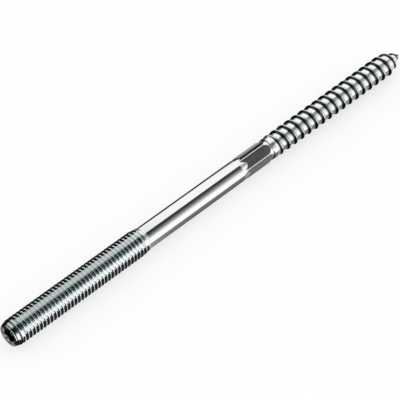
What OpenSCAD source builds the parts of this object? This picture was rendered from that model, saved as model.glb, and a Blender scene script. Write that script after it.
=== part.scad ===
// Hanger bolt: one cold-formed steel bar with a machine thread and a six-lobe socket at
// one end, a wood thread with a gimlet point at the other, and a pressed hexagonal grip
// between the plain shank and the wood thread.
//
// The bolt lies along X on the plane Z = 0. The flat, socketed end is at -X and the point
// at +X, and the origin is below the middle of the bolt. All sizes are millimetres.

/* [Overall] */
// Length from the flat end to the point
bolt_l = 160; // [145:1:220]
// Diameter of the plain shank, which is the bar that the bolt is formed from
shank_d = 6.85; // [5.7:0.05:7.1]

/* [Machine thread] */
// Diameter over the crests of the machine thread
machine_d = 7.85; // [7.6:0.05:9.6]
// Length of the machine-threaded end, with its run-out
machine_l = 49.7; // [25:0.1:62]
// Length over which the last machine threads run out
machine_runout_l = 2.6; // [1:0.1:6]
// Height of the step from the end of the run-out down to the shank
runout_step = 0.12; // [0.02:0.01:0.3]
// Length of the lead-in cone behind the flat end
lead_in_l = 1.8; // [0.8:0.1:3]
// Width of the flat rim round the socket
rim_w = 0.475; // [0.3:0.025:0.7]

/* [Six-lobe socket] */
// Diameter over the socket's lobes
socket_d = 5.6; // [5:0.05:6]
// Diameter between the socket's inward teeth
socket_tooth_d = 3.95; // [3.6:0.05:4.1]
// Radius of each lobe's rounded end
lobe_r = 0.46; // [0.36:0.02:0.5]
// Depth of the socket's straight walls
socket_depth = 3.2; // [1.5:0.1:8]
// Angle of the cone at the bottom of the socket
socket_cone_angle = 118; // [90:1:140]
// Turn of the socket about the bolt, from a tooth straight up
socket_turn = 33; // [0:1:59]

/* [Hexagonal grip] */
// Length of the grip, from the shank's taper to the neck
grip_l = 12.55; // [8:0.05:20]
// Depth to which each flat is pressed into the bar
flat_depth = 0.35; // [0.2:0.01:0.42]
// Height that the corners between the flats swell above the bar
corner_swell = 0.055; // [0.02:0.005:0.1]
// Length of the taper from the shank to the flats
grip_taper_l = 2.4; // [1:0.1:4]
// Length over which the corners swell at the shank's side
grip_swell_l = 2; // [1:0.1:3]
// Length of the cone that takes the corners down to the neck
grip_nose_l = 2; // [1:0.1:4]
// Depth of the neck past the grip, below the flats
neck_depth = 0.055; // [0.02:0.005:0.2]
// Turn of the grip about the bolt, from a corner straight up
grip_turn = 3; // [0:1:59]

/* [Wood thread] */
// Length of the wood-threaded end, with its point
wood_l = 58.2; // [30:0.1:80]
// Diameter over the crests of the wood thread
wood_d = 7.2; // [6.9:0.05:7.8]
// Diameter of the wood thread's core
core_d = 6.1; // [5.4:0.02:6.4]
// Pitch of the wood thread
wood_pitch = 3.06; // [2.4:0.02:4]
// Width of the thread's crest
crest_w = 0.24; // [0.1:0.02:0.5]
// Angle between the two flanks of the thread
flank_angle = 70; // [50:1:80]
// Turn of the thread about the bolt: where a root starts, from straight down
wood_turn = 217; // [0:1:359]
// Length of the gimlet point
point_l = 7.2; // [5:0.1:12]
// Diameter of the blunt tip
tip_d = 0.5; // [0.3:0.05:1]
// Depth of the smooth collar ahead of the wood thread, below the shank
collar_depth = 0.05; // [0:0.01:0.3]
// Length of the smooth collar
collar_l = 1.2; // [0.5:0.1:4]
// Length of the step from the neck up to the collar
collar_step_l = 0.15; // [0.1:0.05:2]

/* [Hidden] */
round_fn = 96;
lobe_fn = 48;
past = 1; // how far a cut runs past the face that it opens

// Stations along the bolt, counted from the flat end
wood_x = bolt_l - wood_l;
collar_x = wood_x - collar_l;
neck_x = collar_x - collar_step_l;
grip_x = neck_x - grip_l;

// The end face is the socket and its rim; the grip, neck and collar are pressed into the bar
end_face_d = socket_d + 2 * rim_w;
grip_flats_d = shank_d - 2 * flat_depth;
grip_corner_d = shank_d + 2 * corner_swell;
neck_d = grip_flats_d - 2 * neck_depth;
collar_d = shank_d - 2 * collar_depth;

// Six-lobe outline: each lobe's arc touches the arcs of the two teeth beside it
lobe_at = socket_d / 2 - lobe_r;
tooth_r = (pow(lobe_at, 2) + pow(socket_tooth_d / 2, 2) - lobe_at * socket_tooth_d * cos(30) - pow(lobe_r, 2))
    / (2 * lobe_at * cos(30) + 2 * lobe_r - socket_tooth_d);
tooth_at = socket_tooth_d / 2 + tooth_r;
socket_step = 0.02; // how far the bottom cone's rim lies inside the teeth

// The bar inside the grip lies under the flats, where the tapers run in and end
inside_depth = 0.25;
swell_start_depth = 0.12;
bar_r = neck_d / 2 - inside_depth;
taper_slope = flat_depth / grip_taper_l;
nose_slope = (grip_corner_d - neck_d) / 2 / grip_nose_l;
step_slope = (collar_d - neck_d) / 2 / collar_step_l;
swell_from_r = shank_d / 2 - swell_start_depth;

// Wood thread: one turn is drawn at these stations, as shares of the pitch, and the
// thread's height is 0 at its root and 1 at its crest
turn_fn = 36;
thread_depth = (wood_d - core_d) / 2;
flank_w = thread_depth * tan(flank_angle / 2);
crest_share = crest_w / wood_pitch;
ridge_share = (crest_w + 2 * flank_w) / wood_pitch;
stations = [0, 0.5 - ridge_share / 2, 0.5 - crest_share / 2, 0.5 + crest_share / 2, 0.5 + ridge_share / 2];
heights = [0, 0, 1, 1, 0];
run_in = 0.8; // turns in which the collar's surface sinks to the thread's core
seat_l = 0.4; // how far the thread's core runs back into the collar
seat_depth = 0.04; // how far that stretch lies below the collar's surface
thread_l = wood_l + seat_l;
start_r = collar_d / 2 - seat_depth;
rise = 0.35; // turns in which the first ridge grows to its height
point_power = 1.65; // how full the point's outline is: 1 is a straight cone
merge = 0.02; // stations nearer than this to an end of the thread are drawn at the end
per_turn = len(stations);
rows = per_turn * (ceil(thread_l / wood_pitch) + 2);

// Share from 0 to 1, starting and ending gently
function eased(share) = let (s = max(0, min(1, share))) s * s * (3 - 2 * s);

// How much of its full diameter the thread keeps at z, measured from the seat in the collar
function kept(z) =
    let (tip_share = tip_d / wood_d, t = max(0, (z - (thread_l - point_l)) / point_l))
    tip_share + (1 - tip_share) * (1 - pow(min(1, t), point_power));

// Share of a number of turns that the thread has made at z
function made(z, turns) = eased((z - seat_l) / (turns * wood_pitch));

// Radius of the core at z: it starts at the collar and ends in the point
function root_r(z) = kept(z) * (start_r + (core_d / 2 - start_r) * made(z, run_in));

// Radius of the crest at z, where the ridge has grown to its height
function crest_r(z) = root_r(z) + (kept(z) * wood_d / 2 - root_r(z)) * made(z, rise);

// Where row i of the thread's grid crosses its column j, along the bolt
function row_z(i, j) =
    seat_l + wood_pitch * (floor(i / per_turn) - 1 + stations[i % per_turn] + (j - turn_fn) / turn_fn);

// The same, with every row that lies before or past the thread drawn at its end
function drawn_z(i, j) = let (z = row_z(i, j)) z < merge ? 0 : z > thread_l - merge ? thread_l : z;

function thread_point(i, j) =
    let (
        z = drawn_z(i, j),
        r = heights[i % per_turn] == 1 ? crest_r(z) : root_r(z),
        drawn_r = z == thread_l ? tip_d / 2 : r,
        turn = wood_turn + 360 * j / turn_fn
    )
    [drawn_r * cos(turn), drawn_r * sin(turn), z];

// First and last row of column j that are drawn, one at each end of the thread
function first_row(j) = max([for (i = [0:rows]) if (drawn_z(i, j) == 0) i]);
function last_row(j) = min([for (i = [0:rows]) if (drawn_z(i, j) == thread_l) i]);
firsts = [for (j = [0:turn_fn - 1]) first_row(j)];
lasts = [for (j = [0:turn_fn - 1]) last_row(j)];

// Index of a grid point. A column one turn on is column 0 again, one turn of rows later.
function at(i, j) =
    j == turn_fn ? at(i + per_turn, 0) : j * (rows + 1) + max(firsts[j], min(lasts[j], i));

module machine_end_and_shank() {
    machine_r = machine_d / 2;
    rotate_extrude($fn = round_fn)
        polygon([
            [0, 0],
            [end_face_d / 2, 0],
            [machine_r, lead_in_l],
            [machine_r, machine_l - machine_runout_l],
            [shank_d / 2 + runout_step, machine_l],
            [shank_d / 2, machine_l],
            [shank_d / 2, grip_x],
            [bar_r, grip_x + (shank_d / 2 - bar_r) / taper_slope],
            [bar_r, neck_x - (neck_d / 2 - bar_r) / step_slope],
            [collar_d / 2, collar_x],
            [collar_d / 2, wood_x],
            [0, wood_x],
        ]);
}

// Six flats pressed into the bar. Their corners swell at the shank's side, and a cone
// takes them down to the neck at the other.
module grip() {
    corner_r = grip_corner_d / 2;
    intersection() {
        translate([0, 0, grip_x])
            rotate(grip_turn)
                cylinder(h = grip_l + past, d = grip_flats_d / cos(30), $fn = 6);
        rotate_extrude($fn = round_fn)
            polygon([
                [0, grip_x],
                [swell_from_r, grip_x],
                [corner_r, grip_x + grip_swell_l],
                [corner_r, neck_x - grip_nose_l],
                [bar_r, neck_x + (neck_d / 2 - bar_r) / nose_slope],
                [0, neck_x + (neck_d / 2 - bar_r) / nose_slope],
            ]);
    }
}

module six_lobe_outline() {
    difference() {
        polygon([
            for (i = [0:5])
                for (corner = [[lobe_at, 60 * i], [tooth_at, 60 * i + 30]])
                    corner[0] * [cos(corner[1]), sin(corner[1])]
        ]);
        for (i = [0:5])
            rotate(60 * i + 30)
                translate([tooth_at, 0])
                    circle(r = tooth_r, $fn = round_fn);
    }
    for (i = [0:5])
        rotate(60 * i)
            translate([lobe_at, 0])
                circle(r = lobe_r, $fn = lobe_fn);
}

module socket() {
    cone_r = socket_tooth_d / 2 - socket_step;
    cone_end_r = 0.1;
    translate([0, 0, -past])
        rotate(socket_turn + 30)
            linear_extrude(socket_depth + past)
                six_lobe_outline();
    translate([0, 0, socket_depth - past])
        cylinder(h = past, r = cone_r, $fn = round_fn);
    translate([0, 0, socket_depth])
        cylinder(h = (cone_r - cone_end_r) / tan(socket_cone_angle / 2), r1 = cone_r, r2 = cone_end_r, $fn = round_fn);
}

// Right-hand ridge wound round the core, drawn as rows that climb one pitch a turn
module wood_thread() {
    points = [for (j = [0:turn_fn - 1]) for (i = [0:rows]) thread_point(i, j)];
    corners = [
        for (j = [0:turn_fn - 1])
            for (i = [-per_turn:rows - 1])
                for (t = [[at(i, j), at(i + 1, j), at(i + 1, j + 1)], [at(i, j), at(i + 1, j + 1), at(i, j + 1)]])
                    if (t[0] != t[1] && t[1] != t[2] && t[2] != t[0])
                        t
    ];
    base = [for (j = [0:turn_fn - 1]) at(firsts[j], j)];
    tip = [for (j = [turn_fn - 1:-1:0]) at(lasts[j], j)];
    translate([0, 0, wood_x - seat_l])
        polyhedron(points = points, faces = concat([base], corners, [tip]));
}

module hanger_bolt() {
    color([0.78, 0.79, 0.8])
        translate([-bolt_l / 2, 0, max(machine_d, wood_d) / 2])
            rotate([0, 90, 0])
                difference() {
                    union() {
                        machine_end_and_shank();
                        grip();
                        wood_thread();
                    }
                    socket();
                }
}

hanger_bolt();
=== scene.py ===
"""Visual model of a hanger bolt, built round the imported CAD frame.

The bolt is one formed bar, so it is one closed mesh: a machine thread with a six-lobe
socket, a plain shank, a pressed hexagonal grip and a wood thread with a gimlet point.
Lengths inside the bolt's classes are millimetres, and they become metres when the mesh
is made. The studio's are metres.
"""

import logging
import math
from dataclasses import dataclass, field
from enum import Enum

import bpy
import bmesh
import numpy as np
from mathutils import Matrix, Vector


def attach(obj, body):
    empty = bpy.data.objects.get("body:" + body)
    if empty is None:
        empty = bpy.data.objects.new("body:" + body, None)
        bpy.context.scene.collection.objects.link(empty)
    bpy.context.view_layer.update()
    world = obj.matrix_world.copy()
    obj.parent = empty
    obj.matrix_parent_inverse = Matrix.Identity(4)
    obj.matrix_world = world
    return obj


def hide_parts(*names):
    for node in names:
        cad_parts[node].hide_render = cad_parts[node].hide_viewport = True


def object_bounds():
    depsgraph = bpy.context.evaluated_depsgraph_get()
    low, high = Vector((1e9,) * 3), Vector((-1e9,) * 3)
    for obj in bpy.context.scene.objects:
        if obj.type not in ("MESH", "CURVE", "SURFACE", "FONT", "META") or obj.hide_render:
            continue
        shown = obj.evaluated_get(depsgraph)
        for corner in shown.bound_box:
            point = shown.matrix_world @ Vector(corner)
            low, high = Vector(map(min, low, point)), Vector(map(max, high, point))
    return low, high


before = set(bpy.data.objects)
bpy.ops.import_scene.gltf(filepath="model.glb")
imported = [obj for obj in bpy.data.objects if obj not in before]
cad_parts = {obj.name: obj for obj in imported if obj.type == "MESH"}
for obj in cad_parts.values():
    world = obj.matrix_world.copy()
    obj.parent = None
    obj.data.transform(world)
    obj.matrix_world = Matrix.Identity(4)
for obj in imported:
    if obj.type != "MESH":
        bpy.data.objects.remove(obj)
CAD_LOW, CAD_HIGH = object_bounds()

LOG = logging.getLogger("hanger_bolt")
METRES_PER_MM = 0.001
NODE = "hanger_bolt"
SECTORS = 6
SECTOR_DEGREES = 60.0
SECTOR = math.radians(SECTOR_DEGREES)

Grid = np.ndarray


def eased(share: Grid) -> Grid:
    """Share from 0 to 1 that starts and ends gently: three squares less two cubes.

    Args:
        share: Values that may lie outside 0 to 1.

    Returns:
        The eased shares, all within 0 to 1.
    """
    kept = np.clip(share, 0.0, 1.0)
    return kept * kept * (3.0 - 2.0 * kept)


def spread(knots: tuple[float, ...], turn: float) -> Grid:
    """Column angles round the bolt, mirrored about each flat's middle and each corner.

    Half a sector runs from the middle of a flat, at 0, to a corner, at 30 degrees. Its
    knots are repeated, mirrored, twelve times round the bolt.

    Args:
        knots: Angles in degrees from 0 to 30, one for each column of half a sector.
        turn: Angle in degrees at which the first flat's middle stands.

    Returns:
        Angles in radians, the last a full turn past the first.
    """
    half = np.array(knots)
    sector = np.concatenate([half[:-1], SECTOR_DEGREES - half[::-1]])[:-1]
    angles = [sector + SECTOR_DEGREES * k for k in range(SECTORS)] + [np.array([360.0])]
    return np.radians(np.concatenate(angles) + turn)


@dataclass
class Patch:
    """One stretch of surface on a grid: rows along the bolt and columns round it.

    Attributes:
        x: Distance from the flat end.
        radius: Distance from the axis.
        angle: Turn about the axis from straight down, in radians.
        painted_shade: Painted shade that darkens the plating, from 0 on open surfaces to 2.
    """

    x: Grid
    radius: Grid
    angle: Grid
    painted_shade: Grid


@dataclass(frozen=True)
class RidgeProfile:
    """Outline of one turn of thread, as heights at shares of the pitch.

    Attributes:
        shares: Distances along the pitch, from 0 to 1.
        heights: Heights there, from 0 at the root to 1 at the crest.
        painted_shades: Painted shade there, from 0 to 1.
    """

    shares: tuple[float, ...]
    heights: tuple[float, ...]
    painted_shades: tuple[float, ...]

    def height(self, phase: Grid) -> Grid:
        """Height at a phase, which is a distance in pitches: linear between stations."""
        return np.interp(phase % 1.0, self.shares + (1.0,), self.heights + (self.heights[0],))

    def painted_shade(self, phase: Grid) -> Grid:
        """Shade at a phase, in the same way."""
        return np.interp(phase % 1.0, self.shares + (1.0,), self.painted_shades + (self.painted_shades[0],))


@dataclass(frozen=True)
class Helix:
    """Rows that climb one pitch in a turn, and so lie along the crests and roots.

    Attributes:
        start: Where the rows begin along the bolt.
        end: Where they end.
        pitch: Climb of a turn.
        profile: Outline of the thread.
        snap: Rows nearer than this to either end are drawn at the end.
        turn: Angle in radians at which a root's middle crosses the start.
    """

    start: float
    end: float
    pitch: float
    profile: RidgeProfile
    snap: float = 0.03
    turn: float = 0.0

    def rows(self, angle: Grid) -> Grid:
        """Where each row crosses each column.

        A row's place is its station plus the pitch times the turn made, held between
        the two ends. The stations run on past both, so that the rows reach them at every
        column.

        Args:
            angle: Column angles, in radians.

        Returns:
            Distances from the flat end, one row for each station of each turn.
        """
        turns = int(math.ceil((self.end - self.start) / self.pitch)) + 3
        shares = np.array(self.profile.shares)
        stations = (np.arange(-2, turns)[:, None] + shares[None, :]).ravel()
        climb = (angle - self.turn) / (2 * math.pi)
        x = self.start + self.pitch * (stations[:, None] + climb[None, :])
        x = np.where(x < self.start + self.snap, self.start, x)
        return np.where(x > self.end - self.snap, self.end, x)

    def phase(self, x: Grid, angle: Grid) -> Grid:
        """Place in the profile: the pitches climbed from the start less the turn made."""
        return (x - self.start) / self.pitch - (angle - self.turn) / (2 * math.pi)


@dataclass
class MachineThread:
    """Fine right-hand thread with a lead-in cone and a run-out on to the shank.

    Attributes:
        major_r: Radius over the crests.
        length: From the flat end to the end of the run-out.
        runout: Length over which the ridges draw in to the shank.
        last_step: How far the run-out's last row stands over the shank.
        lead_in: Length of the cone and of the groove ahead of the first ridge.
        end_r: Radius of the flat end.
        cone_r: Radius at the top of the cone.
        groove_r: Radius of the groove ahead of the first ridge.
        first_r: Radius of the ring that the first ridge starts from.
        settle: Length over which the ridges reach their full height.
        first_shade_run: Length over which the first grooves get more painted shade than the others.
        first_shade_gain: How much more painted shade the first of them gets, as a share.
        pitch: Climb of a turn.
        depth: Height of a ridge.
        profile: Outline of a turn.
    """

    major_r: float = 3.925
    length: float = 49.7
    runout: float = 2.6
    last_step: float = 0.12
    lead_in: float = 1.8
    end_r: float = 3.275
    cone_r: float = 3.71
    groove_r: float = 3.52
    first_r: float = 3.86
    settle: float = 0.9
    first_shade_run: float = 2.6
    first_shade_gain: float = 0.85
    pitch: float = 1.25
    depth: float = 0.7
    profile: RidgeProfile = RidgeProfile(
        (0.0, 0.05, 0.08, 0.38, 0.41, 0.59, 0.62, 0.92, 0.95),
        (0.0, 0.02, 0.08, 0.96, 1.0, 1.0, 0.96, 0.08, 0.02),
        # Painted shade: full in the grooves, fading up the flanks, none on the crests.
        (1.0, 1.0, 1.0, 0.3, 0.0, 0.0, 0.3, 1.0, 1.0),
    )

    def chamfer(self, angle: Grid) -> Patch:
        """Lead-in cone: its broken edge, the cone and the groove ahead of the first ridge.

        A ring is a distance from the flat end, a radius and a painted shade. The second to
        the fifth paint a dark line of shade round the edge, and the next two end the cone.

        Args:
            angle: Column angles, in radians.

        Returns:
            The surface as a patch, with a level ring in each row.
        """
        # The groove's rings and the rise to the first ridge carry painted shade.
        rings = (
            (0.0, self.end_r, 0.0),
            (0.12, self.end_r + 0.07, 0.0),
            (0.18, self.end_r + 0.09, 1.8),
            (0.50, self.end_r + 0.17, 2.0),
            (0.58, self.end_r + 0.20, 0.0),
            (1.12, self.cone_r - 0.02, 0.0),
            (1.24, self.cone_r, 0.0),
            (1.36, self.groove_r, 1.7),
            (1.50, self.groove_r, 2.0),
            (1.72, self.first_r - 0.03, 1.7),
            (self.lead_in, self.first_r, 0.0),
        )
        x, radius, painted_shade = (np.array(part)[:, None] + 0.0 * angle for part in zip(*rings))
        return Patch(x, radius, np.broadcast_to(angle, x.shape), painted_shade)

    def patch(self, angle: Grid, shank_r: float) -> Patch:
        """Threaded surface from the lead-in cone to the shank.

        The radius is the crests' less the depth times what the ridge's height lacks of
        one. It settles from the first ring's, and over the run-out it draws in to the
        shank's. The helix is turned back by the turns that the lead-in takes up.

        Args:
            angle: Column angles, in radians.
            shank_r: Radius of the shank that the thread runs out to.

        Returns:
            The surface as a patch.
        """
        turn = (-2 * math.pi * self.lead_in / self.pitch) % (2 * math.pi)
        helix = Helix(self.lead_in, self.length, self.pitch, self.profile, turn=turn)
        x = helix.rows(angle)
        columns = np.broadcast_to(angle, x.shape)
        phase = helix.phase(x, columns)
        radius = self.major_r - self.depth * (1.0 - self.profile.height(phase))
        settled = eased((x - self.lead_in) / self.settle)
        radius = self.first_r + (radius - self.first_r) * settled
        out = np.clip((x - (self.length - self.runout)) / self.runout, 0.0, 1.0)
        radius = radius + (shank_r + self.last_step - radius) * out
        radius = np.where(x >= self.length - helix.snap / 2, shank_r, radius)
        # The first grooves get extra painted shade, which fades along the thread's start.
        first_shade_boost = 1.0 + self.first_shade_gain * (1.0 - eased((x - self.lead_in) / self.first_shade_run))
        painted_shade = self.profile.painted_shade(phase) * settled * first_shade_boost * (1.0 - out)
        return Patch(x, radius, columns, painted_shade)


@dataclass
class Grip:
    """Six flats pressed into the bar, with swollen corners and a neck past them.

    Attributes:
        shank_r: Radius of the bar.
        start: Where the bar starts to sink, from the flat end.
        length: From there to the step up from the neck.
        flat_depth: How far a flat's middle lies inside the bar's surface.
        corner_swell: How far the corners stand out of it.
        swell_start_depth: How far inside it the corners' cone starts.
        swell: Length of that cone, over which the corners swell.
        taper: Length over which the bar sinks to the flats' depth.
        nose: Length over which the corners sink to the neck.
        neck_depth: How far the neck lies inside the flats.
        step: Length of the rise from the neck to the collar.
        collar: Length of the collar ahead of the wood thread.
        collar_depth: How far the collar lies inside the bar's surface.
        crown: How far a flat's edges fall short of its plane.
        margin: Clear length between the flats' plain rows and a cone's lines.
    """

    shank_r: float
    start: float = 87.9
    length: float = 12.55
    flat_depth: float = 0.35
    corner_swell: float = 0.055
    swell_start_depth: float = 0.12
    swell: float = 2.0
    taper: float = 2.4
    nose: float = 2.0
    neck_depth: float = 0.055
    step: float = 0.15
    collar: float = 1.2
    collar_depth: float = 0.05
    crown: float = 0.035
    margin: float = 0.1

    def __post_init__(self) -> None:
        """Works out the radii and stations that follow from the pressed sizes."""
        self.flat_r = self.shank_r - self.flat_depth
        self.corner_r = self.shank_r + self.corner_swell
        self.neck_r = self.flat_r - self.neck_depth
        self.collar_r = self.shank_r - self.collar_depth
        self.neck_x = self.start + self.length
        self.collar_x = self.neck_x + self.step
        self.end = self.collar_x + self.collar
        self.taper_slope = self.flat_depth / self.taper
        self.nose_slope = (self.corner_r - self.neck_r) / self.nose
        start_r = self.shank_r - self.swell_start_depth
        self.swell_slope = (self.corner_r - start_r) / self.swell
        self.meet_x = self.swell_start_depth / (self.taper_slope + self.swell_slope)
        self.meet_r = self.shank_r - self.taper_slope * self.meet_x

    def knots(self) -> tuple[float, ...]:
        """Column angles of half a flat, with columns on both edges of the corner strip.

        The strip's edge lies where the flat's distance over the cosine of the angle is
        the corner's radius. The strip is widest where the taper's and the swell's cones
        meet and narrowest at the full corner.

        Returns:
            Angles in degrees, from the flat's middle at 0 to the corner at 30.
        """
        low = math.degrees(math.acos(self.flat_r / (self.meet_r + self.crown)))
        high = math.degrees(math.acos(self.flat_r / (self.corner_r + self.crown)))
        middle = (low + high) / 2
        flat = np.linspace(0.0, low, 6)
        corner = np.linspace(high, SECTOR_DEGREES / 2, 4)
        return (*flat, middle, *corner)

    def patch(self, angle: Grid, flats: Grid) -> Patch:
        """Surface from the shank's end to the wood thread's start.

        A flat's radius is its distance from the axis over the cosine of the angle from
        its middle, less a crown that grows with the square of the way to its edge. The
        taper, swell and nose are cones. Rows run along each line where a cone meets a
        flat, because their places there come from the same formulas. A guide is such a
        line with the number of rows from the one before.

        Args:
            angle: Column angles on the round bar, in radians.
            flats: Column angles that fit the flats, in radians.

        Returns:
            The surface as a patch.
        """
        from_flat = np.abs((flats - flats[0] + SECTOR / 2) % SECTOR - SECTOR / 2)
        half = self.flat_r * math.tan(SECTOR / 2)
        flat = self.flat_r / np.cos(from_flat)
        flat = flat - self.crown * (self.flat_r * np.tan(from_flat) / half) ** 2
        full_x = self.start + self.swell
        nose_x = self.neck_x - self.nose
        one = np.ones_like(flats)
        taper_line = self.start + (self.shank_r - np.minimum(flat, self.meet_r)) / self.taper_slope
        swell_line = full_x - (self.corner_r - np.minimum(flat, self.corner_r)) / self.swell_slope
        swell_line = np.maximum(swell_line, taper_line)
        plain_x = max(swell_line.max(), full_x) + self.margin
        nose_line = nose_x + (self.corner_r - np.minimum(flat, self.corner_r)) / self.nose_slope
        guides = (
            (self.start * one, 1),
            (taper_line, 8),
            (swell_line, 3),
            (plain_x * one, 3),
            ((nose_x - 2 * self.margin) * one, 4),
            (nose_line, 8),
            (self.neck_x * one, 6),
            (self.collar_x * one, 6),
            (self.end * one, 4),
        )
        rows = [guides[0][0]]
        for (before, _), (line, count) in zip(guides[:-1], guides[1:]):
            rows += [before + (line - before) * step / count for step in range(1, count + 1)]
        x = np.array(rows)
        share = np.clip((x - self.collar_x) / self.collar, 0.0, 1.0)
        columns = flats + (angle - flats) * share
        bar = self.shank_r - self.taper_slope * np.clip(x - self.start, 0.0, None)
        rise = self.neck_r + (self.collar_r - self.neck_r) * (x - self.neck_x) / self.step
        bar = np.maximum(bar, np.minimum(rise, self.collar_r))
        swell = self.corner_r - self.swell_slope * np.clip(full_x - x, 0.0, None)
        nose = self.corner_r - self.nose_slope * np.clip(x - nose_x, 0.0, None)
        envelope = np.minimum(swell, nose)
        radius = np.maximum(bar, np.minimum(envelope, flat[None, :]))
        return Patch(x, radius, columns, np.zeros_like(x))


@dataclass
class WoodThread:
    """Coarse right-hand thread that runs down a gimlet point.

    Attributes:
        start: Where it starts, from the flat end.
        collar_r: Radius that it starts from.
        length: From its start to the tip.
        crest_r: Radius over the crests.
        core_r: Radius of the root.
        pitch: Climb of a turn.
        crest_w: Width of the flat crest.
        flank_angle: Angle between the flanks, in degrees.
        root_fillet: Radius of the foot's arc.
        root_shade_from: Where painted shade starts on the root towards the flank that faces the
            flat end, as a share of the pitch from the crest's middle.
        root_shade_at: Where it reaches the painted shade below, as such a share.
        root_shade_level: Painted shade there, as a share of the flanks'.
        turn: Angle in degrees at which a root's middle crosses the start.
        run_in: Turns over which the core sinks from the collar's radius.
        rise: Turns over which the ridge reaches its height.
        point: Length of the point.
        tip_r: Radius of the blunt tip.
        point_power: Power of the point's curve, where 1 is a cone.
    """

    start: float
    collar_r: float
    length: float
    crest_r: float = 3.6
    core_r: float = 3.05
    pitch: float = 3.06
    crest_w: float = 0.24
    flank_angle: float = 70.0
    root_fillet: float = 0.5
    root_shade_from: float = 0.42
    root_shade_at: float = 0.34
    root_shade_level: float = 0.42
    turn: float = 217.0
    run_in: float = 0.8
    rise: float = 0.35
    point: float = 7.2
    tip_r: float = 0.25
    point_power: float = 1.65

    def profile(self) -> RidgeProfile:
        """Flat crest, straight flanks and a rounded foot, as shares of the pitch.

        A flank's width is its height times the tangent of half the flank angle. The
        foot's arc is stood for by two chords. A station is a distance from the crest's
        middle, a height, a painted shade on the point's side and one on the flat end's side.

        Returns:
            The outline, with the crest in the middle of the pitch.
        """
        depth = self.crest_r - self.core_r
        half = math.radians(self.flank_angle / 2)
        crest = self.crest_w / 2
        foot = crest + depth * math.tan(half)
        reach = self.root_fillet * math.tan(math.radians(30))
        on_flank = reach * math.cos(half)
        # Painted shade: full on the flanks and feet, none on the crest, and reaching into the root on the
        # flat end's side.
        stations = (
            (0.5 * self.pitch, 0.0, 0.0, 0.0),
            (self.root_shade_from * self.pitch, 0.0, 0.0, 0.0),
            (self.root_shade_at * self.pitch, 0.0, 0.0, self.root_shade_level),
            (foot + reach, 0.0, 0.35, 1.0),
            (foot + 0.28 * reach, 0.28 * on_flank / depth, 1.0, 1.0),
            (foot - reach * math.sin(half), on_flank / depth, 1.0, 1.0),
            (crest + 0.05, 0.9, 1.0, 1.0),
            (crest, 0.99, 0.0, 0.0),
            (crest * 0.4, 1.0, 0.0, 0.0),
        )
        near = [(0.5 - at / self.pitch, height, painted_shade) for at, height, _, painted_shade in stations]
        far = [(0.5 + at / self.pitch, height, painted_shade) for at, height, painted_shade, _ in stations]
        shares, heights, painted_shades = zip(*near, *far[:0:-1])
        return RidgeProfile(shares, heights, painted_shades)

    def kept(self, x: Grid) -> Grid:
        """Share of the full radius that is left in the point.

        It is one less a power of the way along the point, and the tip's share at its end.

        Args:
            x: Distances from the flat end.

        Returns:
            The shares, 1 before the point.
        """
        tip = self.tip_r / self.crest_r
        along = np.clip((x - (self.start + self.length - self.point)) / self.point, 0.0, 1.0)
        return tip + (1.0 - tip) * (1.0 - along**self.point_power)

    def patch(self, angle: Grid) -> Patch:
        """Threaded surface from the collar to the tip.

        The core's radius sinks from the collar's over the run-in, and the ridge rises to
        its height over the rise. Both draw in along the point.

        Args:
            angle: Column angles, in radians.

        Returns:
            The surface as a patch.
        """
        end = self.start + self.length
        helix = Helix(self.start, end, self.pitch, self.profile(), turn=math.radians(self.turn))
        x = helix.rows(angle)
        columns = np.broadcast_to(angle, x.shape)
        phase = helix.phase(x, columns)
        height = helix.profile.height(phase)
        made = (x - self.start) / self.pitch
        kept = self.kept(x)
        root = kept * (self.collar_r + (self.core_r - self.collar_r) * eased(made / self.run_in))
        crest = root + (kept * self.crest_r - root) * eased(made / self.rise)
        radius = root + (crest - root) * height
        radius = np.where(x >= end - helix.snap / 2, self.tip_r, radius)
        # Painted shade doubled, so that the flanks and feet come out near black.
        painted_shade = 2.0 * helix.profile.painted_shade(phase) * eased(made / self.rise)
        return Patch(x, radius, columns, painted_shade)


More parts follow.
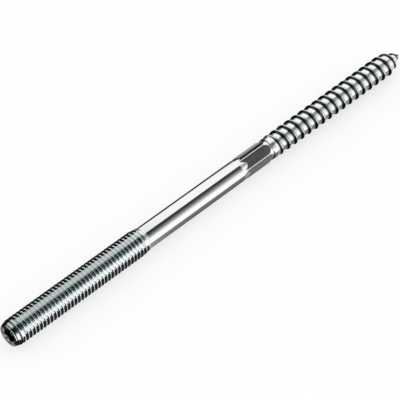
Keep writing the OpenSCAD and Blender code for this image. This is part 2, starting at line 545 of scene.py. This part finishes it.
@dataclass
class Socket:
    """Six-lobe recess in the flat end, with a cone at its bottom.

    Attributes:
        lobe_d: Diameter over the lobes.
        tooth_d: Diameter between the teeth.
        lobe_r: Radius of a lobe's arc.
        depth: Depth of the straight walls.
        cone_angle: Angle of the bottom's cone, in degrees.
        cone_inset: How far the cone's edge lies inside the teeth.
        mouth: Width and depth of the broken edge at the mouth.
        dish: How far the end face sinks from its rim to the mouth.
        knots: Column angles of half a tooth, in degrees.
    """

    lobe_d: float = 5.6
    tooth_d: float = 3.95
    lobe_r: float = 0.46
    depth: float = 3.2
    cone_angle: float = 118.0
    cone_inset: float = 0.02
    mouth: float = 0.08
    dish: float = 0.06
    knots: tuple[float, ...] = (0.0, 4.0, 8.0, 12.0, 15.5, 18.5, 21.0, 23.5, 26.0, 28.2, 30.0)

    def outline(self, angle: Grid, grown: float) -> Grid:
        """Distance from the axis to the socket's wall at each angle.

        A lobe's arc and a tooth's arc touch where the line between their centres
        crosses both. Each arc's polar radius is its centre's distance times the cosine
        of the angle from it, plus or less the root of what is left of its radius.

        Args:
            angle: Angles from the middle of a tooth, in radians.
            grown: How far the wall is moved outwards.

        Returns:
            The wall's radii.
        """
        lobe_at = self.lobe_d / 2 - self.lobe_r
        cosine = math.cos(SECTOR / 2)
        apart = lobe_at**2 + (self.tooth_d / 2) ** 2 - lobe_at * self.tooth_d * cosine
        tooth_r = (apart - self.lobe_r**2) / (2 * lobe_at * cosine + 2 * self.lobe_r - self.tooth_d)
        tooth_at = self.tooth_d / 2 + tooth_r
        from_tooth = np.abs((angle + SECTOR / 2) % SECTOR - SECTOR / 2)
        from_lobe = SECTOR / 2 - from_tooth
        lobe_w = self.lobe_r + grown
        tooth_w = tooth_r - grown
        lobe_left = np.clip(lobe_w**2 - (lobe_at * np.sin(from_lobe)) ** 2, 0.0, None)
        on_lobe = lobe_at * np.cos(from_lobe) + np.sqrt(lobe_left)
        tooth_left = np.clip(tooth_w**2 - (tooth_at * np.sin(from_tooth)) ** 2, 0.0, None)
        on_tooth = tooth_at * np.cos(from_tooth) - np.sqrt(tooth_left)
        lobe_x, lobe_y = lobe_at * cosine, lobe_at * math.sin(SECTOR / 2)
        share = self.lobe_r / (self.lobe_r + tooth_r)
        touch = (lobe_x + (tooth_at - lobe_x) * share, lobe_y * (1 - share))
        return np.where(from_tooth < math.atan2(touch[1], touch[0]), on_tooth, on_lobe)

    def patch(self, angle: Grid, walls: Grid, rim_x: Grid, rim_r: Grid) -> Patch:
        """End face, socket walls and bottom, from the thread's first ring to the axis.

        The rings are the rim, two across the end face, one on the mouth's broken edge,
        three down the walls, and three across the cone, each a place, radii and angles.

        Args:
            angle: Column angles of the thread's first ring, in radians.
            walls: Column angles that fit the lobes, in radians.
            rim_x: Where the thread's first ring lies.
            rim_r: Its radii.

        Returns:
            The surface as a patch, with rows from the rim inwards.
        """
        turned = walls - walls[0]
        mouth = self.outline(turned, self.mouth)
        wall = self.outline(turned, 0.0)
        cone_r = self.tooth_d / 2 - self.cone_inset
        cone_depth = cone_r / math.tan(math.radians(self.cone_angle / 2))
        one = np.ones_like(walls)
        rings = [(rim_x, rim_r, angle)]
        for share in (0.5, 1.0):
            middle = rim_r + (mouth - rim_r) * share
            rings.append((self.dish * share * one, middle, angle + (walls - angle) * share))
        rings.append(((self.dish + 0.4 * self.mouth) * one, wall + 0.3 * self.mouth, walls))
        for deep in (self.dish + self.mouth, 0.5 * self.depth, self.depth):
            rings.append((deep * one, wall, walls))
        rings.append((self.depth * one, cone_r * one, walls))
        for share in (0.5, 0.0):
            deep = self.depth + cone_depth * (1 - share)
            rings.append((deep * one, cone_r * share * one, walls))
        x, radius, columns = (np.array(part) for part in zip(*rings))
        # Painted shade deepening into the socket, near black from half its depth on.
        painted_shade = 2.0 * np.clip(2.0 * x / self.depth, 0.0, 1.0)
        return Patch(x, radius, columns, painted_shade)


@dataclass
class HangerBolt:
    """The whole bolt: its stretches share their end rings and make one closed mesh.

    Attributes:
        length: From the flat end to the tip.
        shank_r: Radius of the plain shank.
        turn: Angle in degrees at which the first flat's middle stands.
        socket: Recess in the flat end.
        machine: Thread next to it.
    """

    length: float = 160.0
    shank_r: float = 3.425
    turn: float = 33.0
    socket: Socket = field(default_factory=Socket)
    machine: MachineThread = field(default_factory=MachineThread)

    def __post_init__(self) -> None:
        """Sets the grip on the shank and the wood thread on the grip's collar."""
        self.grip = Grip(self.shank_r)
        left = self.length - self.grip.end
        self.wood = WoodThread(self.grip.end, self.grip.collar_r, left)

    def shank(self, angle: Grid, flats: Grid) -> Patch:
        """Plain cylinder whose columns draw together towards the grip's corners.

        The first and last rows lie close together, so that the smooth shading bends
        only beside the thread's run-out and the grip's taper.

        Args:
            angle: Column angles of the thread, in radians.
            flats: Column angles that fit the grip's flats, in radians.

        Returns:
            The surface as a patch.
        """
        shares = np.array([0.0, 0.003, 0.01, *np.linspace(0.08, 0.92, 11), 0.99, 1.0])[:, None]
        x = self.machine.length + (self.grip.start - self.machine.length) * shares
        x = np.broadcast_to(x, (len(shares), len(angle)))
        columns = angle + (flats - angle) * eased(shares)
        return Patch(x, np.full(x.shape, self.shank_r), columns, np.zeros(x.shape))

    def patches(self) -> list[Patch]:
        """Every stretch of the surface, from the socket's bottom to the tip.

        Returns:
            The patches in order, each starting where the one before ends.
        """
        even = spread(tuple(np.linspace(0.0, SECTOR_DEGREES / 2, 11)), self.turn)
        flats = spread(self.grip.knots(), self.turn)
        walls = spread(self.socket.knots, self.turn)
        chamfer = self.machine.chamfer(even)
        machine = self.machine.patch(even, self.shank_r)
        mouth = self.socket.patch(even, walls, chamfer.x[0], chamfer.radius[0])
        shank = self.shank(even, flats)
        grip = self.grip.patch(even, flats)
        wood = self.wood.patch(even)
        tip_x = np.full((2, len(even)), self.wood.start + self.wood.length)
        tip_r = np.array([[self.wood.tip_r], [0.0]]) * np.ones_like(tip_x)
        tip = Patch(tip_x, tip_r, np.broadcast_to(even, tip_x.shape), np.zeros_like(tip_x))
        return [mouth, chamfer, machine, shank, grip, wood, tip]

    def build(self, finish: "ZincPlating") -> bpy.types.Object:
        """Makes the mesh, closes it and dresses it.

        A point lies at its distance along X from the flat end, at its radius from the
        axis, and at its angle from straight down towards +Y.

        Args:
            finish: The plating.

        Returns:
            The finished object, riding on the root body.
        """
        places, faces, painted_shades, count = [], [], [], 0
        end_x = CAD_LOW.x / METRES_PER_MM
        axis_z = (CAD_LOW.z + CAD_HIGH.z) / 2 / METRES_PER_MM
        for patch in self.patches():
            across = patch.radius * np.sin(patch.angle)
            up = axis_z - patch.radius * np.cos(patch.angle)
            places.append(np.stack([end_x + patch.x, across, up], -1).reshape(-1, 3))
            painted_shades.append(patch.painted_shade.ravel())
            rows, columns = patch.x.shape
            index = count + np.arange(rows * columns).reshape(rows, columns)
            quads = (index[:-1, :-1], index[1:, :-1], index[1:, 1:], index[:-1, 1:])
            faces.append(np.stack(quads, -1).reshape(-1, 4))
            count += rows * columns
        mesh = bpy.data.meshes.new("bolt_surface")
        points = np.concatenate(places) * METRES_PER_MM
        mesh.from_pydata(points.tolist(), [], np.concatenate(faces).tolist())
        # Painted shade for each point, which darkens the plating's colour.
        painted_shade = mesh.attributes.new("painted_shade", "FLOAT", "POINT")
        painted_shade.data.foreach_set("value", np.concatenate(painted_shades).astype(np.float32))
        close(mesh)
        piece = bpy.data.objects.new("bolt", mesh)
        bpy.context.scene.collection.objects.link(piece)
        mesh.materials.append(finish.material())
        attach(piece, "root")
        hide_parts(NODE)
        return piece


def close(mesh: bpy.types.Mesh, reach: float = 2e-7, crease: float = 28.0) -> None:
    """Merges doubled points, turns the faces outwards and marks the sharp edges.

    Args:
        mesh: The mesh to close, in place.
        reach: Points nearer than this, in metres, become one.
        crease: Angle in degrees between two faces past which their edge is sharp.
    """
    work = bmesh.new()
    work.from_mesh(mesh)
    bmesh.ops.remove_doubles(work, verts=work.verts, dist=reach)
    bmesh.ops.dissolve_degenerate(work, edges=work.edges, dist=reach)
    bmesh.ops.recalc_face_normals(work, faces=work.faces)
    LOG.info("open edges left: %d", sum(1 for edge in work.edges if len(edge.link_faces) != 2))
    work.to_mesh(mesh)
    work.free()
    mesh.shade_smooth()
    mesh.set_sharp_from_angle(angle=math.radians(crease))


@dataclass(frozen=True)
class ZincPlating:
    """Bright zinc plating over steel, with painted shade on a thread's flanks and grooves.

    The mesh's painted shade runs from 0 on open surfaces to 1 in the machine thread's
    grooves and to 2 on the wood thread's flanks and deep in the socket.

    Attributes:
        colour: Colour with no painted shade.
        mid_painted_shade: Colour at painted shade 1, darker.
        dark_painted_shade: Colour at painted shade 2, near black.
        roughness: Least roughness.
        uneven_roughness: How much rougher the roughest patches are.
        cloud_scale: How many patches there are to a metre, about.
        cloud_detail: How many finer sizes of patch lie on top.
    """

    colour: tuple[float, float, float] = (0.89, 0.91, 0.905)
    mid_painted_shade: tuple[float, float, float] = (0.80, 0.86, 0.87)
    dark_painted_shade: tuple[float, float, float] = (0.060, 0.068, 0.068)
    roughness: float = 0.045
    uneven_roughness: float = 0.055
    cloud_scale: float = 160.0
    cloud_detail: float = 4.0

    def material(self) -> bpy.types.Material:
        """Metal whose colour follows the shade, with roughness that varies in clouds.

        The colour ramp takes half the painted shade. The roughness is the least one plus
        the cloud's value times the uneven one.

        Returns:
            The material.
        """
        made = bpy.data.materials.new("bright_zinc")
        made.use_nodes = True
        nodes, links = made.node_tree.nodes, made.node_tree.links
        shader = nodes["Principled BSDF"]
        shader.inputs["Metallic"].default_value = 1.0
        place = nodes.new("ShaderNodeTexCoord")
        painted_shade = nodes.new("ShaderNodeAttribute")
        painted_shade.attribute_name = "painted_shade"
        half = nodes.new("ShaderNodeMath")
        half.operation = "MULTIPLY"
        half.inputs[1].default_value = 0.5
        links.new(painted_shade.outputs["Fac"], half.inputs[0])
        # Ramp from the plating's colour through painted shade to near-black painted shade.
        tint = nodes.new("ShaderNodeValToRGB")
        tint.color_ramp.elements[0].color = (*self.colour, 1.0)
        tint.color_ramp.elements[1].color = (*self.dark_painted_shade, 1.0)
        middle = tint.color_ramp.elements.new(0.5)
        middle.color = (*self.mid_painted_shade, 1.0)
        links.new(half.outputs["Value"], tint.inputs["Fac"])
        links.new(tint.outputs["Color"], shader.inputs["Base Color"])
        cloud = nodes.new("ShaderNodeTexNoise")
        cloud.inputs["Scale"].default_value = self.cloud_scale
        cloud.inputs["Detail"].default_value = self.cloud_detail
        links.new(place.outputs["Object"], cloud.inputs["Vector"])
        uneven = nodes.new("ShaderNodeMath")
        uneven.operation = "MULTIPLY_ADD"
        uneven.inputs[1].default_value = self.uneven_roughness
        uneven.inputs[2].default_value = self.roughness
        links.new(cloud.outputs["Fac"], uneven.inputs[0])
        links.new(uneven.outputs["Value"], shader.inputs["Roughness"])
        return made


@dataclass(frozen=True)
class FloorPaint:
    """Matt white floor.

    Attributes:
        glow: Share of plain white that is mixed in where the camera sees the floor.
    """

    glow: float = 0.65

    def material(self) -> bpy.types.Material:
        """White paint, mixed with plain white light for the camera's rays alone.

        Returns:
            The material.
        """
        made = bpy.data.materials.new("floor_white")
        made.use_nodes = True
        nodes, links = made.node_tree.nodes, made.node_tree.links
        shader = nodes["Principled BSDF"]
        shader.inputs["Base Color"].default_value = (1.0, 1.0, 1.0, 1.0)
        shader.inputs["Roughness"].default_value = 1.0
        shader.inputs["Specular IOR Level"].default_value = 0.0
        rays = nodes.new("ShaderNodeLightPath")
        share = nodes.new("ShaderNodeMath")
        share.operation = "MULTIPLY"
        share.inputs[1].default_value = self.glow
        white = nodes.new("ShaderNodeEmission")
        mix = nodes.new("ShaderNodeMixShader")
        links.new(rays.outputs["Is Camera Ray"], share.inputs[0])
        links.new(share.outputs["Value"], mix.inputs["Fac"])
        links.new(shader.outputs["BSDF"], mix.inputs[1])
        links.new(white.outputs["Emission"], mix.inputs[2])
        links.new(mix.outputs["Shader"], nodes["Material Output"].inputs["Surface"])
        return made


@dataclass(frozen=True)
class CardGlow:
    """Light that the dome's points give off.

    Attributes:
        source: Attribute of the mesh that holds each point's colour.
    """

    source: str = "tone"

    def material(self) -> bpy.types.Material:
        """Plain light whose colour comes from the mesh.

        Returns:
            The material.
        """
        made = bpy.data.materials.new("dome_glow")
        made.use_nodes = True
        nodes, links = made.node_tree.nodes, made.node_tree.links
        nodes.clear()
        level = nodes.new("ShaderNodeAttribute")
        level.attribute_name = self.source
        light = nodes.new("ShaderNodeEmission")
        out = nodes.new("ShaderNodeOutputMaterial")
        links.new(level.outputs["Vector"], light.inputs["Color"])
        links.new(light.outputs["Emission"], out.inputs["Surface"])
        return made


class Blend(Enum):
    """How a card's tone runs across it."""

    EVEN = "even"
    RAMP = "ramp"


# Tints, as red, green and blue shares of a card's tone.
NAVY = (0.7, 1.0, 1.2)
MINT = (0.93, 1.0, 0.98)


@dataclass(frozen=True)
class Card:
    """A card or flag in the studio's dome, placed by where its reflections come from.

    Attributes:
        turn: First and last angle about X, in degrees from straight up towards the
            camera's side.
        lean: Lowest and highest share of the direction that points along X.
        tone: Brightness, where 1 is white.
        blend: Whether the tone is even or runs to end_tone.
        end_tone: Brightness at the last angle of a ramp.
        tint: Colour that the tone is multiplied by.
        soft_turn: Width of the soft edge, in degrees.
        soft_lean: Width of the soft edge, as a share.
    """

    turn: tuple[float, float]
    lean: tuple[float, float]
    tone: float
    blend: Blend = Blend.EVEN
    end_tone: float = 1.0
    tint: tuple[float, float, float] = (1.0, 1.0, 1.0)
    soft_turn: float = 4.0
    soft_lean: float = 0.06

    def laid_on(self, tones: Grid, turn: Grid, lean: Grid) -> Grid:
        """Tones with this card laid over them.

        Its cover is the product of two windows, each rising over a soft edge and falling
        over another. The angle is measured from the card's middle, round the dome.

        Args:
            tones: Colours so far: rows, columns and three channels.
            turn: Each point's angle about X, in degrees.
            lean: Each point's share along X.

        Returns:
            The new colours.
        """
        middle = sum(self.turn) / 2
        off = (turn - middle + 180.0) % 360.0 - 180.0
        reach = (self.turn[1] - self.turn[0]) / 2
        across = eased((reach - np.abs(off)) / self.soft_turn + 0.5)
        along = eased((lean - self.lean[0]) / self.soft_lean + 0.5)
        along = along * eased((self.lean[1] - lean) / self.soft_lean + 0.5)
        own = np.full_like(lean, self.tone)
        if self.blend is Blend.RAMP:
            share = np.clip((off + reach) / (2 * reach), 0.0, 1.0)
            own = self.tone + (self.end_tone - self.tone) * share
        cover = (across * along)[..., None]
        return tones + (own[..., None] * np.array(self.tint) - tones) * cover


@dataclass
class Studio:
    """Pale floor, soft light, a dome of cards for the reflections, and the camera.

    A card covers what lies before it in the list.

    Attributes:
        floor_size: Side of the square floor.
        dome_r: Radius of the dome.
        dome_tone: Brightness where it has no card.
        camera_place: Where the camera stands.
        camera_elevation: Angle that it looks down by, in degrees.
        camera_azimuth: Angle that it is turned by from +Y towards +X, in degrees.
        focal_pixels: Focal length, in pixels of the rendered image.
        image_pixels: Width of that image.
        near_limit: Distance within which the camera sees nothing.
        floor_paint: The floor's finish.
        card_glow: The dome's finish.
        cards: The dome's cards.
    """

    floor_size: float = 12.0
    dome_r: float = 5.0
    dome_tone: float = 1.02
    camera_place: tuple[float, float, float] = (-0.2799, -0.2654, 0.3791)
    camera_elevation: float = 44.67
    camera_azimuth: float = 45.756
    focal_pixels: float = 1880.0
    image_pixels: float = 400.0
    near_limit: float = 0.01
    floor_paint: FloorPaint = FloorPaint()
    card_glow: CardGlow = CardGlow()
    cards: tuple[Card, ...] = (
        # Bands along the whole bolt: black below and behind, white on the camera's side.
        Card((121.0, 274.0), (-1.2, 1.2), 0.02, soft_turn=7.0),
        Card((66.0, 119.0), (-1.2, 1.2), 1.08),
        Card((66.0, 78.0), (-0.6, 1.2), 0.75, Blend.RAMP, 1.1, soft_turn=0.5),
        # The shank's dark stripe, which pales towards the camera's side.
        Card((50.0, 66.0), (-0.6, 0.572), 0.30, Blend.RAMP, 0.75, soft_turn=0.5, soft_lean=0.03),
        Card((30.0, 50.0), (-0.6, 0.572), 0.055, Blend.RAMP, 0.30, soft_turn=0.5, soft_lean=0.03),
        Card((5.0, 30.0), (-0.6, 0.572), 0.035, soft_lean=0.03),
        # The machine thread: its crests pale green, then navy, then white, and its flanks.
        Card((-64.0, -10.0), (-1.2, 0.465), 0.62, tint=MINT, soft_lean=0.04),
        Card((-12.0, 6.0), (-1.2, 0.465), 0.62, Blend.RAMP, 0.08, tint=MINT, soft_turn=0.5, soft_lean=0.04),
        Card((5.5, 36.0), (-1.2, 0.465), 0.008, tint=NAVY, soft_turn=1.0, soft_lean=0.04),
        Card((36.0, 57.0), (-1.2, 0.465), 0.008, Blend.RAMP, 0.12, tint=NAVY, soft_turn=0.5, soft_lean=0.04),
        Card((57.0, 68.0), (-1.2, 0.465), 0.15, Blend.RAMP, 0.9, soft_turn=0.5, soft_lean=0.04),
        Card((2.0, 62.0), (-1.2, -0.76), 0.27, tint=NAVY, soft_lean=0.05),
        # The grey stripe of the collar, wood thread and point, and the grip's middle flat.
        Card((2.0, 20.0), (0.547, 0.64), 0.55, Blend.RAMP, 0.2, soft_turn=1.0, soft_lean=0.01),
        Card((20.0, 56.0), (0.547, 0.64), 0.2, Blend.RAMP, 0.8, soft_turn=1.0, soft_lean=0.01),
        Card((4.0, 42.0), (0.64, 1.2), 0.42),
        Card((25.5, 36.0), (0.53, 0.562), 0.06, soft_turn=1.0, soft_lean=0.01),
        # The far edge: shank, upper flat from black to grey, wood thread, machine thread.
        Card((-150.0, -85.0), (0.475, 0.54), 0.02, soft_lean=0.03),
        Card((-90.0, -70.0), (0.53, 0.572), 0.004, soft_turn=0.5, soft_lean=0.02),
        Card((-98.0, -90.0), (0.53, 0.572), 0.42, soft_turn=0.5, soft_lean=0.02),
        Card((-150.0, -78.0), (0.572, 0.70), 0.05, soft_lean=0.02),
        Card((-118.0, -63.0), (-0.85, 0.36), 0.015, soft_lean=0.02),
        # The near lower edge: shank and lower flat, machine thread, wood thread, point.
        Card((121.0, 180.0), (0.465, 0.572), 0.16, soft_lean=0.03),
        Card((124.0, 215.0), (0.33, 0.465), 0.65, soft_lean=0.06),
        Card((124.0, 215.0), (0.572, 0.70), 0.32),
        Card((124.0, 215.0), (0.70, 1.2), 0.8),
        # The end face, grey and darker, and the lead-in cone.
        Card((-172.0, -120.0), (-0.75, -0.42), 0.2, soft_lean=0.04),
        Card((-172.0, -120.0), (-0.40, -0.12), 0.015, soft_lean=0.04),
        Card((8.0, 95.0), (-0.58, -0.44), 0.9, soft_lean=0.03),
    )

    def build(self) -> None:
        """Sets up the camera, the floor, the world and the dome."""
        self.camera()
        self.floor()
        self.world()
        self.dome()
        bpy.context.scene.view_settings.view_transform = "Standard"

    def camera(self) -> None:
        """Long lens that looks down along the bolt from beyond its flat end."""
        lens = bpy.data.cameras.new("camera")
        lens.lens = lens.sensor_width * self.focal_pixels / self.image_pixels
        lens.clip_start = self.near_limit
        holder = bpy.data.objects.new("camera", lens)
        bpy.context.scene.collection.objects.link(holder)
        tilt = math.radians(90.0 - self.camera_elevation)
        turn = math.radians(-self.camera_azimuth)
        aim = Matrix.Rotation(turn, 4, "Z") @ Matrix.Rotation(tilt, 4, "X")
        holder.matrix_world = Matrix.Translation(self.camera_place) @ aim
        bpy.context.scene.camera = holder

    def floor(self) -> None:
        """White floor that keeps the bolt's soft shadow and stays out of its reflections."""
        half = self.floor_size / 2
        corners = [[(-half, -half, 0.0), (half, -half, 0.0)], [(-half, half, 0.0), (half, half, 0.0)]]
        floor = stage_sheet("floor", np.array(corners))
        floor.visible_glossy = False
        floor.data.materials.append(self.floor_paint.material())

    def world(self) -> None:
        """Plain white surroundings."""
        world = bpy.data.worlds.new("studio")
        world.use_nodes = True
        ground = world.node_tree.nodes["Background"]
        ground.inputs["Color"].default_value = (1.0, 1.0, 1.0, 1.0)
        ground.inputs["Strength"].default_value = 1.0
        bpy.context.scene.world = world

    def dome(self, rows: int = 161, columns: int = 361) -> None:
        """Puts up the dome of cards, which only reflections meet.

        A point lies at its share of the radius along X, and at its angle about X on a
        circle whose radius is what is left: the root of one less the share's square.

        Args:
            rows: Points along X.
            columns: Points about X.
        """
        lean = -np.cos(np.linspace(0.0, math.pi, rows))[:, None]
        turn = np.linspace(-180.0, 180.0, columns)[None, :]
        lean, turn = np.broadcast_arrays(lean, turn)
        wide = np.sqrt(np.clip(1.0 - lean**2, 0.0, None))
        angle = np.radians(turn)
        places = np.stack([lean, -wide * np.sin(angle), wide * np.cos(angle)], -1) * self.dome_r
        tones = np.full((*lean.shape, 3), self.dome_tone)
        for card in self.cards:
            tones = card.laid_on(tones, turn, lean)
        dome = stage_sheet("dome", places)
        tone = dome.data.attributes.new(self.card_glow.source, "FLOAT_VECTOR", "POINT")
        tone.data.foreach_set("vector", tones.ravel().astype(np.float32))
        dome.data.materials.append(self.card_glow.material())
        dome.visible_camera = False
        dome.visible_diffuse = False
        dome.visible_shadow = False
        dome.visible_transmission = False


def stage_sheet(name: str, grid: Grid) -> bpy.types.Object:
    """Makes a sheet that dresses the studio.

    Args:
        name: Name of the sheet.
        grid: Places of its points, in metres: rows, columns and three coordinates.

    Returns:
        The sheet.
    """
    rows, columns = grid.shape[:2]
    index = np.arange(rows * columns).reshape(rows, columns)
    quads = np.stack([index[:-1, :-1], index[:-1, 1:], index[1:, 1:], index[1:, :-1]], -1)
    mesh = bpy.data.meshes.new(name)
    mesh.from_pydata(grid.reshape(-1, 3).tolist(), [], quads.reshape(-1, 4).tolist())
    sheet = bpy.data.objects.new(name, mesh)
    bpy.context.scene.collection.objects.link(sheet)
    return sheet


def main() -> None:
    logging.basicConfig(level=logging.INFO)
    Studio().build()
    bolt = HangerBolt().build(ZincPlating())
    LOG.info("%s: %d triangles", bolt.name, sum(len(p.vertices) - 2 for p in bolt.data.polygons))


if __name__ == "__main__":
    main()
